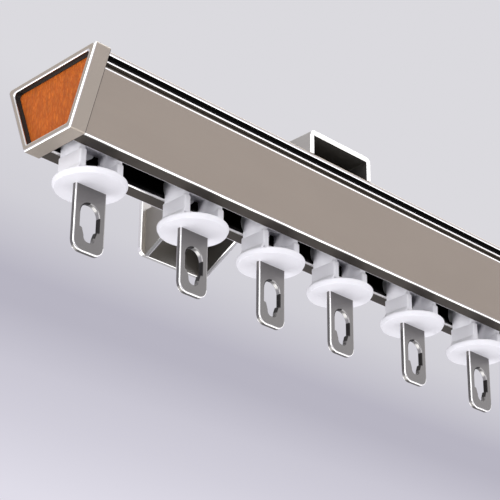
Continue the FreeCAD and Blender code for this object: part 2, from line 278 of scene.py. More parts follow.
class Finish:
    """The node tree of one material, or of the world."""

    def __init__(self, tree):
        self.tree = tree
        self.tree.nodes.clear()

    def node(self, kind, settings=None, inputs=None, output=0):
        """Adds a node, sets it up, feeds its sockets with values or links and returns one of its outputs."""
        made = self.tree.nodes.new(kind)
        for name, setting in (settings or {}).items():
            if name == "stops":
                self.set_stops(made.color_ramp, setting)
            else:
                setattr(made, name, setting)
        for key, value in (inputs or {}).items():
            self.feed(made.inputs[key], value)
        return Value(self, made.outputs[output]) if len(made.outputs) else made

    def set_stops(self, ramp, stops):
        """Puts (position, colour) stops on a colour ramp."""
        while len(ramp.elements) < len(stops):
            ramp.elements.new(1.0)
        for element, (position, shade) in zip(ramp.elements, stops):
            element.position = position
            element.color = (*shade, 1.0)

    def feed(self, socket, value):
        """Links a value into a socket, or sets the socket to a constant."""
        if isinstance(value, Value):
            self.tree.links.new(value.socket, socket)
        elif hasattr(socket.default_value, "__len__") and len(value) < len(socket.default_value):
            socket.default_value = (*value, 1.0)
        else:
            socket.default_value = value

    def place(self, stretch):
        """Object coordinates stretched by one factor or by three, in cycles per metre."""
        at = self.node("ShaderNodeTexCoord", output="Object")
        scale = np.broadcast_to(stretch, 3).tolist()
        return self.node("ShaderNodeMapping", {"vector_type": "POINT"}, {"Vector": at, "Scale": scale})

    def noise(self, stretch, detail=3.0, roughness=0.5, distortion=0.0):
        """Noise from 0 to 1 on stretched Object coordinates."""
        return self.node("ShaderNodeTexNoise", None,
                         {"Vector": self.place(stretch), "Scale": 1.0, "Detail": detail,
                          "Roughness": roughness, "Distortion": distortion})

    def tone(self):
        """The mesh's tone of painted light: 1 for a painted highlight on edges, -1 for painted shade and 0
        elsewhere.
        """
        return self.node("ShaderNodeAttribute", {"attribute_name": TONE}, None, "Fac")

    def mix(self, factor, first, second):
        """Colour between two, by a factor."""
        return self.node("ShaderNodeMix", {"data_type": "RGBA"}, {"Factor": factor, 6: first, 7: second}, 2)

    def bump(self, height, distance, strength):
        """Normal bent by a height from 0 to 1 over a distance in metres."""
        return self.node("ShaderNodeBump", None,
                         {"Height": height, "Distance": distance, "Strength": strength})

    def surface(self, **inputs):
        """A Principled shader as the material's surface; a name's underscores stand for spaces."""
        shader = self.node("ShaderNodeBsdfPrincipled", None,
                           {name.replace("_", " "): value for name, value in inputs.items()})
        self.node("ShaderNodeOutputMaterial", None, {"Surface": shader})


def new_finish(name):
    """A fresh material and its node tree."""
    material = bpy.data.materials.new(name)
    material.use_nodes = True
    return material, Finish(material.node_tree)


def shades(tint, darker, lighter):
    """A darker and a lighter version of a colour."""
    return [part * darker for part in tint], [min(1.0, part * lighter) for part in tint]


# Finishes


def toned_metal(name, tint, painted_shade, painted_highlight, lines, clouds, metallic, roughness, bump_depth):
    """Metal with a fine structure and soft clouds. Where its tone is above 0 it takes a painted highlight, a
    near-white colour with the lower roughness and higher metallic of polish, and where its tone is below 0 it
    takes painted shade, a dark colour.

    The metallic part of a full metal is the same all over, so it stays a plain number.
    """
    material, finish = new_finish(name)
    tone = finish.tone()
    polish_and_highlight, painted_shading = tone.positive(), tone.negative()
    structure = finish.noise(lines, detail=3.0)
    drift = finish.noise(clouds, detail=2.0)
    plain = finish.mix(drift * 0.6 + structure * 0.4, *shades(tint, 0.93, 1.06))
    # Painted highlight where the tone is above 0, painted shade where it is below 0
    base = finish.mix(painted_shading, finish.mix(polish_and_highlight, plain, painted_highlight), painted_shade)
    metal = 1.0 if metallic == 1.0 else metallic + (1.0 - metallic) * polish_and_highlight
    finish.surface(Base_Color=base, Metallic=metal,
                   Roughness=roughness + 0.1 * structure - (roughness - 0.12) * polish_and_highlight + 0.2 * painted_shading,
                   Normal=finish.bump(structure * (1.0 - polish_and_highlight), bump_depth, 0.3))
    return material


def grained_leather(name, tint, crease):
    """Dyed leather: pebbles between creases that run mostly up and down, with uneven dye."""
    material, finish = new_finish(name)
    at = finish.place((1200.0, 1500.0, 460.0))
    drift = finish.node("ShaderNodeTexNoise", None, {"Vector": at, "Scale": 0.35, "Detail": 3.0}, "Color")
    bent = finish.node("ShaderNodeVectorMath", {"operation": "MULTIPLY_ADD"},
                       {0: drift, 1: (1.6, 1.6, 1.6), 2: at})
    pebbles = finish.node("ShaderNodeTexVoronoi", {"feature": "DISTANCE_TO_EDGE"},
                          {"Vector": bent, "Scale": 1.0}, "Distance")
    raised = finish.node("ShaderNodeMapRange", {"interpolation_type": "SMOOTHSTEP"},
                         {"Value": pebbles, "From Min": 0.0, "From Max": 0.26})
    pores = finish.noise(6000.0, detail=2.0)
    streaks = finish.noise((700.0, 1000.0, 230.0), detail=3.0, roughness=0.65)
    dye = finish.noise((260.0, 260.0, 140.0), detail=4.0, roughness=0.6)
    light = finish.mix((dye * 0.8 + streaks * 1.6 - 0.7).positive(), *shades(tint, 0.5, 1.5))
    base = finish.mix(raised * 0.7 + 0.3, crease, light)
    finish.surface(Base_Color=base, Roughness=0.66 - 0.14 * raised, Specular_IOR_Level=0.3,
                   Normal=finish.bump(raised * 0.7 + pores * 0.3, 0.00008, 0.8))
    return material


def moulded_plastic(name, tint, roughness):
    """Half matt moulded plastic with faint flow marks."""
    material, finish = new_finish(name)
    flow = finish.noise((220.0, 220.0, 320.0), detail=2.0, distortion=0.6)
    skin = finish.noise(4200.0, detail=2.0)
    base = finish.mix(flow, [part * 0.965 for part in tint], tint)
    finish.surface(Base_Color=base, Roughness=roughness + 0.08 * skin,
                   Normal=finish.bump(skin, 0.00001, 0.3))
    return material


def zinc_plating(name, tint):
    """Zinc on steel: crystals of slightly different tone."""
    material, finish = new_finish(name)
    crystals = finish.node("ShaderNodeTexVoronoi", {"feature": "F1"},
                           {"Vector": finish.place(1400.0), "Scale": 1.0}, "Distance")
    grain = finish.noise(3000.0, detail=2.0)
    base = finish.mix(crystals, tint, [part * 0.78 for part in tint])
    finish.surface(Base_Color=base, Metallic=1.0, Roughness=0.26 + 0.2 * grain,
                   Normal=finish.bump(grain, 0.00002, 0.3))
    return material


def floor_paint(name, tint):
    """Plain matt floor."""
    material, finish = new_finish(name)
    speckle = finish.noise(40.0, detail=3.0)
    finish.surface(Base_Color=finish.mix(speckle, [part * 0.985 for part in tint], tint), Roughness=0.85)
    return material


# Surfaces


def unit(vectors):
    """The same directions, one long."""
    return vectors / np.linalg.norm(vectors, axis=-1, keepdims=True)


def rounded(corners, radii, corner_tones=0.0, side_tones=0.0):
    """Closed outline whose corners are arcs that touch both of their sides, and the tone of each point.

    With a and b the unit directions from a corner P to its neighbours, m the unit vector between them and
    h half the angle between them, the arc's centre is P + m r / sin h. Its points are the touching point on
    the side before, turned about the centre in even steps to the touching point on the side after. A holding
    point a little further along each side keeps that side's shading flat. Side k runs from corner k to
    corner k + 1.
    """
    corners = np.asarray(corners, float)
    count = len(corners)
    radii = np.broadcast_to(radii, count).astype(float)
    before = unit(np.roll(corners, 1, 0) - corners)
    after = unit(np.roll(corners, -1, 0) - corners)
    half = np.arccos(np.clip((before * after).sum(1), -1.0, 1.0)) / 2
    centre = corners + unit(before + after) * (radii / np.sin(half))[:, None]
    reach = (radii / np.tan(half))[:, None]
    start, end = corners + before * reach - centre, corners + after * reach - centre
    turned_by = np.arctan2(start[:, 0] * end[:, 1] - start[:, 1] * end[:, 0], (start * end).sum(1))
    angle = (turned_by[:, None] * np.linspace(0.0, 1.0, ARC_STEPS + 1))[..., None]
    across = np.stack([-start[:, 1], start[:, 0]], 1)
    arcs = centre[:, None] + np.cos(angle) * start[:, None] + np.sin(angle) * across[:, None]
    first, last = corners + before * (reach + HOLD), corners + after * (reach + HOLD)
    points = np.concatenate([first[:, None], arcs, last[:, None]], 1).reshape(-1, 2)
    side_tones = np.broadcast_to(side_tones, count).astype(float)
    arc_tones = np.repeat(np.broadcast_to(corner_tones, count).astype(float)[:, None], ARC_STEPS + 1, 1)
    tones = np.concatenate([np.roll(side_tones, 1)[:, None], arc_tones, side_tones[:, None]], 1).reshape(-1)
    return points, tones


def circle(radius, centre, count=32):
    """Closed ring of points: centre + radius (cos t, sin t)."""
    angle = np.linspace(0.0, 2 * math.pi, count, endpoint=False)
    return np.asarray(centre, float) + radius * np.stack([np.cos(angle), np.sin(angle)], 1)


def quarter(radius):
    """Columns of a quarter arc: radius (1 - sin a) and radius (1 - cos a), with a from 0 to 90 degrees."""
    return radius * (1 - np.sin(QUARTER)), radius * (1 - np.cos(QUARTER))


def mirrored(right):
    """Closed outline from its right half, followed by the same half mirrored and run back."""
    return np.array(right + [(-across, up) for across, up in right[::-1]])


def runs_left(outline):
    """Whether a closed outline turns to the left: the sum of x_k y_k+1 - y_k x_k+1 is above 0."""
    following = np.roll(outline, -1, 0)
    return (outline[:, 0] * following[:, 1] - outline[:, 1] * following[:, 0]).sum() > 0


def mitres(outline):
    """Steps that move each point of a closed outline so that both of its sides move 1 to the left."""
    sides = np.roll(outline, -1, 0) - outline
    left = unit(np.stack([-sides[:, 1], sides[:, 0]], 1))
    middle = unit(left + np.roll(left, 1, 0))
    return middle / (middle * left).sum(1, keepdims=True)


def stand_at(y):
    """Turns columns (u, v, w) into points with u along the track, v upwards and w from y towards the wall."""
    return lambda u, v, w: np.stack([u, y + w, v], -1)


def grid_faces(index):
    """Quads between the rows of an index grid whose rows are closed rings."""
    following = np.roll(index, -1, 1)
    return np.stack([index[:-1], following[:-1], following[1:], index[1:]], -1).reshape(-1, 4)


class Shell:
    """Points, faces and tones of one mesh, gathered from closed surfaces."""

    def __init__(self):
        self.points, self.faces, self.tones, self.count = [], [], [], 0

    def add(self, points, faces, tones):
        """Adds one closed surface."""
        points = np.asarray(points, float).reshape(-1, 3)
        self.points.append(points)
        self.faces.extend((np.asarray(face) + self.count).tolist() for face in faces)
        self.tones.append(np.broadcast_to(tones, len(points)).astype(float))
        self.count += len(points)
        return self

    def stack(self, rings, tones=0.0):
        """Adds rings of points joined one to the next, with a flat face over the first and over the last."""
        rows, size = rings.shape[:2]
        index = np.arange(rows * size).reshape(rows, size)
        tones = np.broadcast_to(np.asarray(tones, float).reshape(-1, 1), (rows, size)).reshape(-1)
        return self.add(rings, [*grid_faces(index), index[0], index[-1]], tones)

    def bar(self, outlines, stations, place, tones=None, rim_tones=None):
        """Adds a bar: an outer outline and the outlines of its holes, carried along a straight path.

        Point k at a station is p_k + inset n_k, where n_k is the outline's mitred normal at p_k that points
        into the material. place turns columns (u, v, w) into (x, y, z), with w along the path. Flat ends
        span from the outer outline to the holes. Rim tones, one for each station, multiply the outer
        outline's own, and the holes' own then stay off the flat ends.
        """
        insets, along = np.asarray(stations, float).T
        walls = np.ones(len(along))
        walls[[0, -1]] = 0.0
        starts, faces, grids, flat, all_tones = 0, [], [], [], []
        for number, outline in enumerate(outlines):
            own = np.zeros(len(outline)) if tones is None else tones[number]
            if runs_left(outline) != (number == 0):
                outline, own = outline[::-1], own[::-1]
            rings = outline + insets[:, None, None] * mitres(outline)
            index = starts + np.arange(rings.size // 2).reshape(rings.shape[:2])
            starts += index.size
            faces.extend(grid_faces(index))
            flat.append((rings, index))
            level = np.broadcast_to(along[:, None], rings.shape[:2])
            grids.append(place(rings[..., 0], rings[..., 1], level).reshape(-1, 3))
            shade = own if rim_tones is None else own * (walls if number else rim_tones)[:, None]
            all_tones.append(np.broadcast_to(shade, rings.shape[:2]).reshape(-1))
        for end in (0, -1):
            corners = np.concatenate([index[end] for rings, index in flat])
            lines = [[Vector((u, v, 0.0)) for u, v in rings[end].tolist()] for rings, index in flat]
            faces.extend(corners[np.array(tessellate_polygon(lines))])
        return self.add(np.concatenate(grids), faces, np.concatenate(all_tones))

    def mesh(self, name):
        """The gathered surfaces as a smooth mesh whose faces point outwards."""
        mesh = bpy.data.meshes.new(name)
        mesh.from_pydata(np.concatenate(self.points), [], self.faces)
        mesh.attributes.new(TONE, "FLOAT", "POINT").data.foreach_set("value", np.concatenate(self.tones))
        shape = bmesh.new()
        shape.from_mesh(mesh)
        bmesh.ops.recalc_face_normals(shape, faces=shape.faces)
        shape.to_mesh(mesh)
        shape.free()
        mesh.shade_smooth()
        return mesh


def rim_stations(edge, thickness, side_tone=0.0):
    """Stations and tones of a sheet whose rims are quarter arcs, with holding stations beside each arc. The
    arcs get tone 1, a painted highlight, and the sides between them the side tone.
    """
    low, inset = quarter(edge)
    arc = [(i, w, 1.0) for w, i in zip(low[::-1], inset[::-1])]
    rows = [(edge + 4 * HOLD, 0.0, 0.0), *arc, (0.0, edge + HOLD, side_tone)]
    rows += [(i, thickness - w, tone) for i, w, tone in rows[::-1]]
    rows = np.array(rows)
    return rows[:, :2], rows[:, 2]


# Pieces


def put(name, data):
    """A new object in the scene."""
    made = bpy.data.objects.new(name, data)
    bpy.context.scene.collection.objects.link(made)
    return made


def dress(mesh, material):
    """Gives a mesh its one material."""
    mesh.materials.clear()
    mesh.materials.append(material)


def finish_piece(name, shape, material, body, node):
    """Puts a shell or a mesh in the scene as a piece that rides on a body and stands for a CAD node."""
    mesh = shape.mesh(name) if isinstance(shape, Shell) else shape
    dress(mesh, material)
    piece = put(name, mesh)
    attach(piece, body)
    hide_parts(node)
    return piece


def middle_x(node):
    """The middle of a CAD node along the track."""
    low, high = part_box(node)
    return (low.x + high.x) / 2


class Section:
    """Places in the profile's cross-section, as (distance from the middle, depth below the top)."""

    def __init__(self, sizes):
        low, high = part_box("track_profile")
        self.start, self.end = low.x, high.x
        self.middle, self.top = (low.y + high.y) / 2, high.z
        self.top_half, self.height = (high.y - low.y) / 2, high.z - low.z
        self.under = self.top - self.height
        self.lean = (self.top_half - sizes.bottom_width / 2) / self.height
        self.stretch = math.hypot(1.0, self.lean)

    def half(self, depth):
        """Half the outside width at a depth."""
        return self.top_half - self.lean * depth

    def place(self, across, depth, along):
        """Points of the shared frame from places in the section and along the track."""
        return np.stack([along, self.middle + across, self.top - depth], -1)


def profile_outline(sizes, section):
    """Corners of the outside, slots and grooves: rows of across, depth, radius, tone and tone after."""
    half, depth = section.half, sizes.groove_depth
    first, second = sizes.groove_top, sizes.groove_top + sizes.groove_height
    third = second + sizes.rib
    fourth = third + sizes.second_groove
    slot, lip_top = sizes.slot / 2, section.height - sizes.lip
    ceiling = sizes.top_floor + sizes.web
    wall = sizes.wall * section.stretch
    # Tones paint light: 1 is a painted highlight on the rounded edges, -1 painted shade in the first groove,
    # the slot and the channel, -0.8 painted shade under the lips, -0.55 in the second groove and -0.6 in the
    # top slot
    right = [
        (sizes.top_mouth / 2, 0.0, SHARP, 0.0, 0.0),
        (half(0.0), 0.0, sizes.rim_edge, 0.0, 1.0),
        (half(first), first, sizes.rim_edge * 0.8, 1.0, -1.0),
        (half(first) - depth, first, SHARP, -1.0, -1.0),
        (half(second) - depth, second, SHARP, -1.0, -1.0),
        (half(second), second, sizes.rib_edge, 1.0, 1.0),
        (half(third), third, sizes.rib_edge, 1.0, -0.55),
        (half(third) - depth, third, SHARP, -0.55, -0.55),
        (half(fourth) - depth, fourth, SHARP, -0.55, -0.55),
        (half(fourth), fourth, sizes.face_edge, 1.0, 0.0),
        (half(section.height), section.height, sizes.face_edge, 1.0, -0.8),
        (slot, section.height, sizes.slot_edge, 1.0, -1.0),
        (slot, lip_top, SHARP, -1.0, -1.0),
        (half(lip_top) - wall, lip_top, SHARP, -1.0, -1.0),
        (half(ceiling) - wall, ceiling, SHARP, -1.0, -1.0),
    ]
    tones_after = [row[4] for row in right]
    left = [(-across, deep, radius, tone, after) for (across, deep, radius, tone, _), after
            in zip(right[::-1], tones_after[-2::-1] + [0.0])]
    wide, mouth = sizes.top_slot / 2, sizes.top_mouth / 2
    top_slot = [(across, deep, SHARP, -0.6, -0.6) for across, deep in (
        (-mouth, sizes.top_lip), (-wide, sizes.top_lip), (-wide, sizes.top_floor),
        (wide, sizes.top_floor), (wide, sizes.top_lip), (mouth, sizes.top_lip))]
    return np.array(right + left + top_slot)


def make_profile(sizes, material):
    """The extrusion: its rounded cross-section carried from one cap to the other."""
    section = Section(sizes)
    rows = profile_outline(sizes, section)
    outline, tones = rounded(rows[:, :2], rows[:, 2], rows[:, 3], rows[:, 4])
    ports = [circle(sizes.port_radius, (side * sizes.port_place, sizes.port_depth)) for side in (-1, 1)]
    start, end = section.start, section.end
    stations = [(0.0, along) for along in (start, start + HOLD, end - HOLD, end)]
    # Painted shade in the ports
    painted_shade = [np.full(len(port), -1.0) for port in ports]
    shell = Shell().bar([outline, *ports], stations, section.place, [tones, *painted_shade])
    finish_piece("profile", shell, material, "track", "track_profile")


def cap_ring(sizes, section, inset, corner):
    """Outline of a cap moved inwards by an inset, with rounded corners."""
    top, bottom = inset - sizes.cap_top, section.height + sizes.cap_bottom - inset
    margin = sizes.cap_side - inset * section.stretch
    top_half, bottom_half = section.half(top) + margin, section.half(bottom) + margin
    corners = [(-top_half, top), (top_half, top), (bottom_half, bottom), (-bottom_half, bottom)]
    return rounded(corners, corner)[0]


def cap_rings(sizes, section, rows, side):
    """Rings of a cap or its leather from rows of depth behind the cap's face and inset."""
    share = np.clip(rows[:, 1] / sizes.cap_rim, 0.0, 1.0)
    corners = sizes.cap_corner + (sizes.recess_corner - sizes.cap_corner) * share
    rings = np.stack([cap_ring(sizes, section, inset, corner) for inset, corner in zip(rows[:, 1], corners)])
    end = section.start - sizes.cap_thickness if side < 0 else section.end + sizes.cap_thickness
    along = np.broadcast_to((end - side * rows[:, 0])[:, None], rings.shape[:2])
    return section.place(rings[..., 0], rings[..., 1], along)


def make_cap(name, side, profile, sizes, material):
    """An end cap: rings from the back over the outside and the rim down to the recess floor, and two pegs."""
    section = Section(profile)
    edge, back, lip, rim = sizes.cap_edge, sizes.cap_back_edge, sizes.recess_edge, sizes.cap_rim
    thick, deep = sizes.cap_thickness, sizes.recess_depth
    back_in, back_out = quarter(back)
    front_in, front_out = quarter(edge)
    rim_in, rim_out = quarter(lip)
    # Tones paint light: -1 is painted shade along the back edge against the profile and on the recess's
    # walls, 1 a painted highlight on the front edge and the rim's edge
    rows = [(thick, back + 4 * HOLD, -1.0)]
    rows += [(thick - a, b, -1.0) for a, b in zip(back_in[::-1], back_out[::-1])]
    rows += [(thick - back - HOLD, 0.0, 0.0), (edge + HOLD, 0.0, 0.0)]
    rows += [(a, b, 1.0) for a, b in zip(front_in, front_out)]
    rows += [(0.0, edge + HOLD, 0.0), (0.0, rim - lip - HOLD, 0.0)]
    rows += [(b, rim - a, 1.0) for a, b in zip(rim_in, rim_out)]
    rows += [(lip + HOLD, rim, -1.0), (deep, rim, -1.0), (deep, rim + HOLD, -1.0)]
    rows = np.array(rows)
    shell = Shell().stack(cap_rings(sizes, section, rows[:, :2], side), rows[:, 2])
    start = section.start if side < 0 else section.end
    pegs = [(0.0, start), (0.0, start - side * sizes.peg_length)]
    peg_play = 0.02 * MM
    for port_side in (-1, 1):
        ring = circle(profile.port_radius - peg_play,
                      (port_side * profile.port_place, profile.port_depth))
        shell.bar([ring], pegs, section.place)
    finish_piece("cap_" + name, shell, material, "track", "end_cap_" + name)


def make_leather(name, side, profile, sizes, material):
    """A leather panel: a rounded cut edge, then rings that shrink to the middle under a slight crown.

    Ring s of the face is m + s (edge - m), with m the middle, raised by crown (1 - s s).
    """
    section = Section(profile)
    inset, edge, sunk = sizes.cap_rim + sizes.leather_gap, sizes.leather_edge, sizes.leather_sunk
    into, out = quarter(edge)
    rows = [(sizes.recess_depth, inset + 2 * HOLD), (sizes.recess_depth, inset), (sunk + edge + HOLD, inset)]
    rows += [(sunk + a, inset + b) for a, b in zip(into, out)]
    rings = cap_rings(sizes, section, np.array(rows), side)
    share = np.linspace(0.98, 0.05, 16)[:, None, None]
    middle = rings[-1].mean(0)
    face = middle + share * (rings[-1] - middle)
    face[..., 0] += side * sizes.leather_crown * (1 - share[..., 0] ** 2)
    shell = Shell().stack(np.concatenate([rings, face]))
    finish_piece("leather_" + name, shell, material, "track", "leather_inlay_" + name)


def folded_arm(sizes, section, x):
    """Rings of the folded steel arm, from the lower edge of one side wall over the top to the other.

    The fold's outer line is a wall, a quarter arc, the top, a quarter arc and a wall. Every ring is the
    sheet's own cross-section, with places y from front to back and depths t into the sheet: outer line + t
    times the line's inward normal. The lower edges follow the gusset: level, then sloping down towards the
    wall plate. Cut edges get a painted highlight and the inside of the arm gets painted shade.
    """
    half, bend, edge, sheet = sizes.arm_width / 2, sizes.arm_bend, sizes.bracket_edge, sizes.sheet
    front, back = section.middle - section.top_half, -sheet
    base, top = section.top, section.top + sizes.arm_rise
    into, out = quarter(edge)
    y = np.concatenate([front + into[::-1], [front + edge + HOLD, back - sizes.gusset, back]])
    t = np.concatenate([out[::-1], [0.0] * 3])
    y_ring = np.concatenate([y, y[::-1]])
    t_ring = np.concatenate([t, sheet - t[::-1]])
    slope = sizes.wall_plate_drop / sizes.gusset
    lower = base - slope * np.clip(y_ring - (back - sizes.gusset), 0.0, None)
    arc_x, arc_z = -half + bend * (1 - np.cos(QUARTER)), top - bend * (1 - np.sin(QUARTER))
    line_x = np.concatenate([[-half] * 3, arc_x, [-half + bend + HOLD]])
    line_z = np.concatenate([[base, base + HOLD, top - bend - HOLD], arc_z, [top]])
    normal_x = np.concatenate([[1.0] * 3, np.cos(QUARTER), [0.0]])
    normal_z = np.concatenate([[0.0] * 3, -np.sin(QUARTER), [-1.0]])
    rings_x = x + line_x[:, None] + t_ring * normal_x[:, None]
    rings_z = line_z[:, None] + t_ring * normal_z[:, None]
    rings_z[0], rings_z[1] = lower, lower + HOLD
    left = np.stack([rings_x, np.broadcast_to(y_ring, rings_x.shape), rings_z], -1)
    right = left[::-1] * (-1.0, 1.0, 1.0) + (2 * x, 0.0, 0.0)
    rings = np.concatenate([left, right])
    # Painted highlight on the cut edges, painted shade on the inside of the arm
    plain, inside, cut = 0.0, -0.5, 1.0
    walls = np.where(t_ring > sheet / 2, inside, plain)
    tones = np.where(y_ring < front + edge + HOLD / 2, cut, walls)
    tones = np.broadcast_to(tones, rings.shape[:2]).copy()
    tones[[0, -1]] = cut
    return rings, tones


def make_bracket(name, profile, sizes, material):
    """A bracket: the folded arm, the bend behind it and the wall plate with its two holes."""
    section = Section(profile)
    low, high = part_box("bracket_" + name)
    x, sheet = (low.x + high.x) / 2, sizes.sheet
    rings, tones = folded_arm(sizes, section, x)
    rows, size = rings.shape[:2]
    index = np.arange(rows * size).reshape(rows, size)
    steps = np.arange(size // 2 - 1)
    strip = np.stack([steps, steps + 1, size - 2 - steps, size - 1 - steps], -1)
    faces = [*grid_faces(index), *index[0][strip], *index[-1][strip]]
    shell = Shell().add(rings, faces, tones.reshape(-1))

    corners = [(low.x, low.z), (high.x, low.z), (high.x, high.z), (low.x, high.z)]
    # Painted highlight on the wall plate's edges all round
    outline, full = rounded(corners, sizes.wall_plate_corner, 1.0, 1.0)
    holes = [circle(sizes.wall_hole, (x, side * sizes.wall_hole_spacing / 2)) for side in (-1, 1)]
    plain = [np.zeros(len(hole)) for hole in holes]
    stations, rim = rim_stations(sizes.bracket_edge, sheet, 1.0)
    shell.bar([outline, *holes], stations, stand_at(-sheet), [full, *plain], rim)

    bend, top = sizes.wall_plate_bend, section.top + sizes.arm_rise
    hollow = np.stack([-sheet - bend + bend * np.sin(QUARTER), top + bend - bend * np.cos(QUARTER)], 1)
    wedge = np.concatenate([hollow, [(-sheet + HOLD, top - HOLD)]])
    reach = sizes.arm_width / 2 - sizes.arm_bend
    shell.bar([wedge], [(0.0, x - reach), (0.0, x + reach)], lambda u, v, w: np.stack([w, u, v], -1))
    finish_piece("bracket_arm_" + name, shell, material, "track", "bracket_" + name)


def make_screw(name, sizes, material):
    """A clamp screw: the CAD node's own shape with the edges of its head rounded."""
    node = "clamp_screw_" + name
    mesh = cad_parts[node].data.copy()
    shape = bmesh.new()
    shape.from_mesh(mesh)
    bmesh.ops.remove_doubles(shape, verts=shape.verts, dist=1e-6)
    bmesh.ops.dissolve_limit(shape, angle_limit=math.radians(0.5), verts=shape.verts, edges=shape.edges)
    shape.to_mesh(mesh)
    shape.free()
    for layer in [layer for layer in mesh.attributes if layer.name == "custom_normal"]:
        mesh.attributes.remove(layer)
    mesh.shade_smooth()
    piece = finish_piece("screw_" + name, mesh, material, "track", node)
    bevel = piece.modifiers.new("Rounded edges", "BEVEL")
    bevel.width = sizes.screw_edge
    bevel.segments = 3
    bevel.limit_method = "ANGLE"
    bevel.angle_limit = math.radians(40)
    bevel.harden_normals = True


def flange_rings(sizes, x, y, z):
    """Rings of the flange, a turned section given as shares of its radius and of its rim's height."""
    lower_edge = [(0.30, 0.0), (0.915, 0.0), (0.925, 0.0), (0.938, 0.01), (0.947, 0.035), (0.952, 0.07)]
    rim = [(0.955, 0.12), (0.96, 0.20), (0.97, 0.30), (0.985, 0.45), (0.996, 0.60), (1.0, 0.75), (1.0, 0.86),
           (0.996, 0.95), (0.985, 1.03), (0.965, 1.09), (0.94, 1.12)]
    dome = [(0.90, 1.16), (0.84, 1.22), (0.77, 1.33), (0.68, 1.50), (0.56, 1.72), (0.42, 1.92), (0.28, 2.07),
            (0.14, 2.15), (0.03, 2.17)]
    section = np.array(lower_edge + rim + dome)
    ring = circle(1.0, (0.0, 0.0), 96)
    radius, rise = section[:, :1] * sizes.flange_radius, section[:, 1:] * sizes.flange_height
    across, ahead = x + radius * ring[:, 0], y + radius * ring[:, 1]
    return np.stack([across, ahead, np.broadcast_to(z + rise, across.shape)], -1)


def make_carrier(number, profile, sizes, material):
    """A moulded carrier: turned flange, two posts with stepped feet, and the bridge with the snap bearing."""
    section = Section(profile)
    x, y, under = middle_x("carrier_%d" % number), section.middle, section.under
    base = under - sizes.flange_drop
    rim_top = base + sizes.flange_height
    shell = Shell().stack(flange_rings(sizes, x, y, base))

    outer, inner = sizes.neck / 2, sizes.neck / 2 - sizes.post
    shoulder, foot_top = under - sizes.shoulder_gap, rim_top + sizes.foot_height
    stations, _ = rim_stations(sizes.plastic_edge, sizes.post_width)
    width, corner = sizes.post_width / 2, 0.56 * MM
    for side in (-1, 1):
        corners = [(inner, rim_top), (outer + sizes.post_foot, rim_top), (outer, foot_top), (outer, shoulder),
                   (inner, shoulder)]
        outline = rounded(np.array(corners) * (side, 1.0) + (x, 0.0), corner)[0]
        shell.bar([outline], stations, stand_at(y - width))

    axle = under + sizes.axle_rise
    hole, wall = sizes.bearing, sizes.bearing_wall
    top, bottom = axle + hole + wall, axle - hole - wall
    cut, throat, overlap = sizes.bridge_corner, sizes.throat / 2, 0.5 * MM
    opening = math.asin(throat / hole)
    angle = np.linspace(math.pi / 2 - opening, -3 * math.pi / 2 + opening, 25)
    bearing = np.stack([hole * np.cos(angle), axle + hole * np.sin(angle)], 1)
    right = [(throat, top), (outer - cut, top), (outer, top - cut), (outer, shoulder - overlap),
             (inner, shoulder - overlap), (inner, bottom)]
    outline = np.concatenate([mirrored(right), bearing[::-1]]) + (x, 0.0)
    neck = profile.slot / 2 - sizes.slot_fit
    shell.bar([outline], [(0.0, -neck), (0.0, neck)], stand_at(y))
    finish_piece("moulding_%d" % number, shell, material, "glider_%d" % number,
                 "carrier_%d" % number)


def make_plate(number, profile, sizes, material):
    """A stamped hook plate: rounded lower corners, stepped keyhole, and polished edges all round with a
    painted highlight, weaker on the right side, and painted shade with a faint painted highlight inside the
    keyhole.
    """
    section = Section(profile)
    x = middle_x("hook_plate_%d" % number)
    base = section.under - sizes.flange_drop
    half, top, bottom = sizes.plate_width / 2, base + sizes.plate_tang, base - sizes.plate_drop
    corners = [(x - half, top), (x + half, top), (x + half, bottom), (x - half, bottom)]
    tang_corner = 0.7 * MM
    radii = [tang_corner, tang_corner, sizes.plate_corner, sizes.plate_corner]
    # Painted highlight on the plate's edges, weaker on the right side
    outline, polish_and_highlight = rounded(corners, radii, 1.0, (1.0, 0.3, 1.0, 1.0))

    wide, neck = sizes.keyhole_width / 2, sizes.keyhole_neck
    crown, step, end = base - sizes.keyhole_top, base - sizes.keyhole_step, base - sizes.keyhole_low
    inner = wide - sizes.keyhole_shoulder
    right = [(wide, crown), (wide, step), (inner, step), (neck, end + neck), (neck, end)]
    slack, step_corner, neck_corner = 0.05 * MM, 0.1 * MM, 0.6 * MM
    radii = [wide - slack, step_corner, neck_corner, neck_corner, neck * 0.85]
    # Painted shade on the keyhole's left crown and its right side, a faint painted highlight at its right
    # crown
    corner_tones, side_tones = [0.2, -0.8, -0.8] + [0.0] * 6 + [-0.9], [-0.9, -0.8, -0.8] + [0.0] * 7
    hole, painted_shading = rounded(mirrored(right) + (x, 0.0), radii + radii[::-1], corner_tones, side_tones)

    stations, rim = rim_stations(sizes.plate_edge, sizes.plate_sheet)
    place = stand_at(section.middle - sizes.plate_sheet / 2)
    shell = Shell().bar([outline, hole], stations, place, [polish_and_highlight, painted_shading], rim)
    finish_piece("plate_%d" % number, shell, material, "glider_%d" % number,
                 "hook_plate_%d" % number)


# Stage


def camera_matrix(stage):
    """Camera's place and directions from its yaw, pitch and roll."""
    yaw, pitch, roll = stage.camera_yaw, stage.camera_pitch, stage.camera_roll
    ahead = Vector((math.sin(yaw) * math.cos(pitch), math.cos(yaw) * math.cos(pitch), math.sin(pitch)))
    level = Vector((math.cos(yaw), -math.sin(yaw), 0.0))
    upright = level.cross(ahead)
    right = math.cos(roll) * level + math.sin(roll) * upright
    above = math.cos(roll) * upright - math.sin(roll) * level
    matrix = Matrix((right, above, -ahead)).transposed().to_4x4()
    matrix.translation = Vector(stage.camera_place)
    return matrix


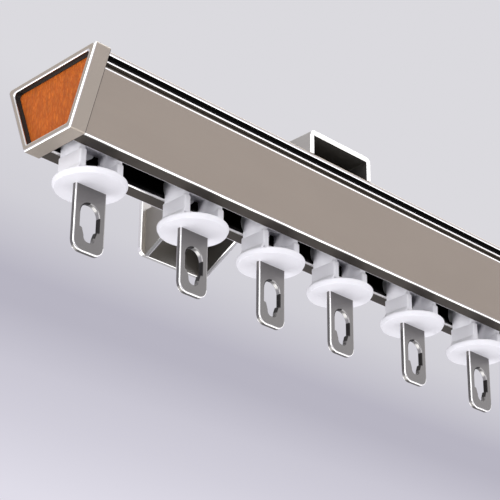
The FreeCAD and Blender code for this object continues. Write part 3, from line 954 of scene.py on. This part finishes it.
def area_lamp(name, place, aim, size, power):
    """Rectangular soft lamp at a place, turned towards a point."""
    lamp = bpy.data.lights.new(name, "AREA")
    lamp.shape = "RECTANGLE"
    lamp.size, lamp.size_y = size
    lamp.energy = power
    holder = put(name, lamp)
    holder.location = place
    holder.rotation_euler = (Vector(aim) - Vector(place)).to_track_quat("-Z", "Y").to_euler()
    holder.visible_camera = False


def make_lamps(stage):
    """Six soft lamps, turned towards the track."""
    near_end = (-0.1, -0.05, -0.03)
    for name, place, aim, size in (
            ("Top", (0.55, 0.06, 1.0), (-0.05, 0.0, 0.0), (1.3, 1.1)),
            ("Front", (-0.95, -0.85, 0.1), near_end, (0.8, 1.4)),
            ("Left", (-1.3, -0.1, 0.05), near_end, (0.9, 1.2)),
            ("Right", (0.85, -0.85, 0.5), near_end, (1.1, 0.9)),
            ("Low", (0.3, -0.35, -0.7), near_end, (1.5, 0.7)),
            ("Rear", (-0.55, 0.5, -0.8), near_end, (0.9, 0.8))):
        area_lamp(name + " lamp", place, aim, size, getattr(stage, name.lower() + "_light"))


def make_camera(stage):
    """The camera at the photograph's viewing angle."""
    camera = bpy.data.cameras.new("Camera")
    camera.sensor_width = 36.0
    camera.lens = stage.camera_lens
    camera.clip_start = 0.01
    holder = put("Camera", camera)
    holder.matrix_world = camera_matrix(stage)
    bpy.context.scene.camera = holder


def make_floor(stage, colours):
    """A plain pale floor."""
    half = 2.5
    corners = np.array([(-half, -half), (half, -half), (half, half), (-half, half)])
    corners = np.concatenate([corners, np.full((4, 1), -stage.floor_depth)], 1)
    mesh = bpy.data.meshes.new("floor")
    mesh.from_pydata(corners, [], [(0, 1, 2, 3)])
    mesh.materials.append(floor_paint("Floor paint", colours.floor))
    put("floor", mesh)


def make_world(stage, colours):
    """Background by how steeply a direction rises about the track, seen by the camera and in reflections."""
    world = bpy.data.worlds.new("Studio")
    bpy.context.scene.world = world
    world.use_nodes = True
    air = Finish(world.node_tree)
    heading = air.node("ShaderNodeTexCoord", output="Generated")
    flat = air.node("ShaderNodeVectorMath", {"operation": "MULTIPLY"}, {0: heading, 1: (0.0, 1.0, 1.0)})
    steep = air.node("ShaderNodeVectorMath", {"operation": "NORMALIZE"}, {0: flat})
    rise = air.node("ShaderNodeSeparateXYZ", None, {"Vector": steep}, "Z")
    high, dip, low = (np.array(shade) for shade in
                      (colours.background_high, colours.background_dip, colours.background_low))
    stops = [(0.0, low), (0.35, low), (0.40, low * 0.6 + dip * 0.4), (0.43, low * 0.42 + dip * 0.58),
             (0.467, dip), (0.485, dip), (0.505, dip * 0.65 + high * 0.35), (0.53, dip * 0.3 + high * 0.7),
             (0.60, high), (1.0, high)]
    ramp = air.node("ShaderNodeValToRGB", {"stops": stops}, {"Fac": rise})
    shown = air.node("ShaderNodeBackground", None, {"Color": ramp, "Strength": 1.0})
    lit = air.node("ShaderNodeBackground", None, {"Color": (1.0, 1.0, 1.0), "Strength": stage.ambient})
    seen = sum(air.node("ShaderNodeLightPath", output=name)
               for name in ("Is Camera Ray", "Is Glossy Ray", "Is Transmission Ray"))
    chosen = air.node("ShaderNodeMixShader", None, {"Fac": seen, 1: lit, 2: shown})
    air.node("ShaderNodeOutputWorld", None, {"Surface": chosen})


# Operators and panel


def settings(context):
    """The profile's sizes, the other sizes and the colours."""
    scene = context.scene
    return scene.track_profile_sizes, scene.track_sizes, scene.track_colours


class CURTAINTRACK_OT_profile(bpy.types.Operator):
    """Make the anodised aluminium profile"""

    bl_idname = "curtain_track.profile"
    bl_label = "Profile"

    def execute(self, context):
        profile, _, tints = settings(context)
        material = toned_metal("Anodised profile", tints.profile, tints.groove, tints.painted_edge_highlight,
                               (6.0, 5200.0, 5200.0), (45.0, 90.0, 90.0), 0.9, 0.34, 0.00003)
        make_profile(profile, material)
        return {"FINISHED"}


class CURTAINTRACK_OT_caps(bpy.types.Operator):
    """Make the two end caps"""

    bl_idname = "curtain_track.caps"
    bl_label = "End caps"

    def execute(self, context):
        profile, sizes, tints = settings(context)
        material = toned_metal("Cap metal", tints.cap, tints.recess, tints.painted_edge_highlight,
                               3800.0, 160.0, 0.6, 0.34, 0.00002)
        for name, side in SIDES.items():
            make_cap(name, side, profile, sizes, material)
        return {"FINISHED"}


class CURTAINTRACK_OT_leather(bpy.types.Operator):
    """Make the leather panels in the caps"""

    bl_idname = "curtain_track.leather"
    bl_label = "Leather panels"

    def execute(self, context):
        profile, sizes, tints = settings(context)
        material = grained_leather("Tan leather", tints.leather, tints.leather_crease)
        for name, side in SIDES.items():
            make_leather(name, side, profile, sizes, material)
        return {"FINISHED"}


class CURTAINTRACK_OT_brackets(bpy.types.Operator):
    """Make the folded wall brackets"""

    bl_idname = "curtain_track.brackets"
    bl_label = "Brackets"

    def execute(self, context):
        profile, sizes, tints = settings(context)
        material = toned_metal("Satin steel", tints.steel, tints.groove, tints.painted_edge_highlight,
                               (2600.0, 300.0, 2600.0), 130.0, 1.0, 0.3, 0.00002)
        for name in SIDES:
            make_bracket(name, profile, sizes, material)
        return {"FINISHED"}


class CURTAINTRACK_OT_clamps(bpy.types.Operator):
    """Make the brackets' clamp screws and finish their nuts"""

    bl_idname = "curtain_track.clamps"
    bl_label = "Clamp screws and nuts"

    def execute(self, context):
        _, sizes, tints = settings(context)
        material = zinc_plating("Zinc plating", tints.zinc)
        for name in SIDES:
            make_screw(name, sizes, material)
            dress(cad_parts["slot_nut_" + name].data, material)
        return {"FINISHED"}


class CURTAINTRACK_OT_carriers(bpy.types.Operator):
    """Make the moulded carriers of the gliders"""

    bl_idname = "curtain_track.carriers"
    bl_label = "Carriers"

    def execute(self, context):
        profile, sizes, tints = settings(context)
        material = moulded_plastic("White plastic", tints.plastic, 0.36)
        for number in GLIDERS:
            make_carrier(number, profile, sizes, material)
        return {"FINISHED"}


class CURTAINTRACK_OT_plates(bpy.types.Operator):
    """Make the steel hook plates"""

    bl_idname = "curtain_track.plates"
    bl_label = "Hook plates"

    def execute(self, context):
        profile, sizes, tints = settings(context)
        material = toned_metal("Brushed plate", tints.plate, tints.groove, tints.painted_edge_highlight,
                               (3000.0, 3000.0, 240.0), 130.0, 1.0, 0.28, 0.00002)
        for number in GLIDERS:
            make_plate(number, profile, sizes, material)
        return {"FINISHED"}


class CURTAINTRACK_OT_wheels(bpy.types.Operator):
    """Finish the wheels and their axles"""

    bl_idname = "curtain_track.wheels"
    bl_label = "Wheels"

    def execute(self, context):
        material = moulded_plastic("Wheel plastic", context.scene.track_colours.wheel, 0.3)
        for number in GLIDERS:
            dress(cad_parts["wheelset_%d" % number].data, material)
        return {"FINISHED"}


class CURTAINTRACK_OT_stage(bpy.types.Operator):
    """Set up the camera, the floor, the lamps and the background"""

    bl_idname = "curtain_track.stage"
    bl_label = "Stage"

    def execute(self, context):
        scene = context.scene
        stage, tints = scene.track_stage, scene.track_colours
        make_camera(stage)
        make_floor(stage, tints)
        make_lamps(stage)
        make_world(stage, tints)
        scene.view_settings.view_transform = "Standard"
        return {"FINISHED"}


PROPERTY_GROUPS = {
    "track_profile_sizes": CurtainTrackProfileSizes,
    "track_sizes": CurtainTrackSizes,
    "track_colours": CurtainTrackColours,
    "track_stage": CurtainTrackStage,
}
OPERATORS = (
    CURTAINTRACK_OT_profile, CURTAINTRACK_OT_caps, CURTAINTRACK_OT_leather, CURTAINTRACK_OT_brackets,
    CURTAINTRACK_OT_clamps, CURTAINTRACK_OT_carriers, CURTAINTRACK_OT_plates, CURTAINTRACK_OT_wheels,
    CURTAINTRACK_OT_stage,
)


class CURTAINTRACK_PT_panel(bpy.types.Panel):
    """Pieces, sizes and colours of the curtain track"""

    bl_idname = "CURTAINTRACK_PT_panel"
    bl_label = "Curtain track"
    bl_space_type = "VIEW_3D"
    bl_region_type = "UI"
    bl_category = "Curtain Track"

    def draw(self, context):
        column = self.layout.column()
        for operator in OPERATORS:
            column.operator(operator.bl_idname)
        for name, group in PROPERTY_GROUPS.items():
            box = self.layout.box()
            for setting in group.__annotations__:
                box.prop(getattr(context.scene, name), setting)


def register():
    """Registers the property groups, the operators and the panel."""
    for name, group in PROPERTY_GROUPS.items():
        bpy.utils.register_class(group)
        setattr(bpy.types.Scene, name, bpy.props.PointerProperty(type=group))
    for item in (*OPERATORS, CURTAINTRACK_PT_panel):
        bpy.utils.register_class(item)


def unregister():
    """Takes the panel, the operators and the property groups away again."""
    for item in (CURTAINTRACK_PT_panel, *OPERATORS[::-1]):
        bpy.utils.unregister_class(item)
    for name, group in PROPERTY_GROUPS.items():
        delattr(bpy.types.Scene, name)
        bpy.utils.unregister_class(group)


def main():
    """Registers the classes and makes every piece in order."""
    register()
    for operator in OPERATORS:
        getattr(bpy.ops.curtain_track, operator.bl_idname.split(".")[1])()


if __name__ == "__main__":
    main()
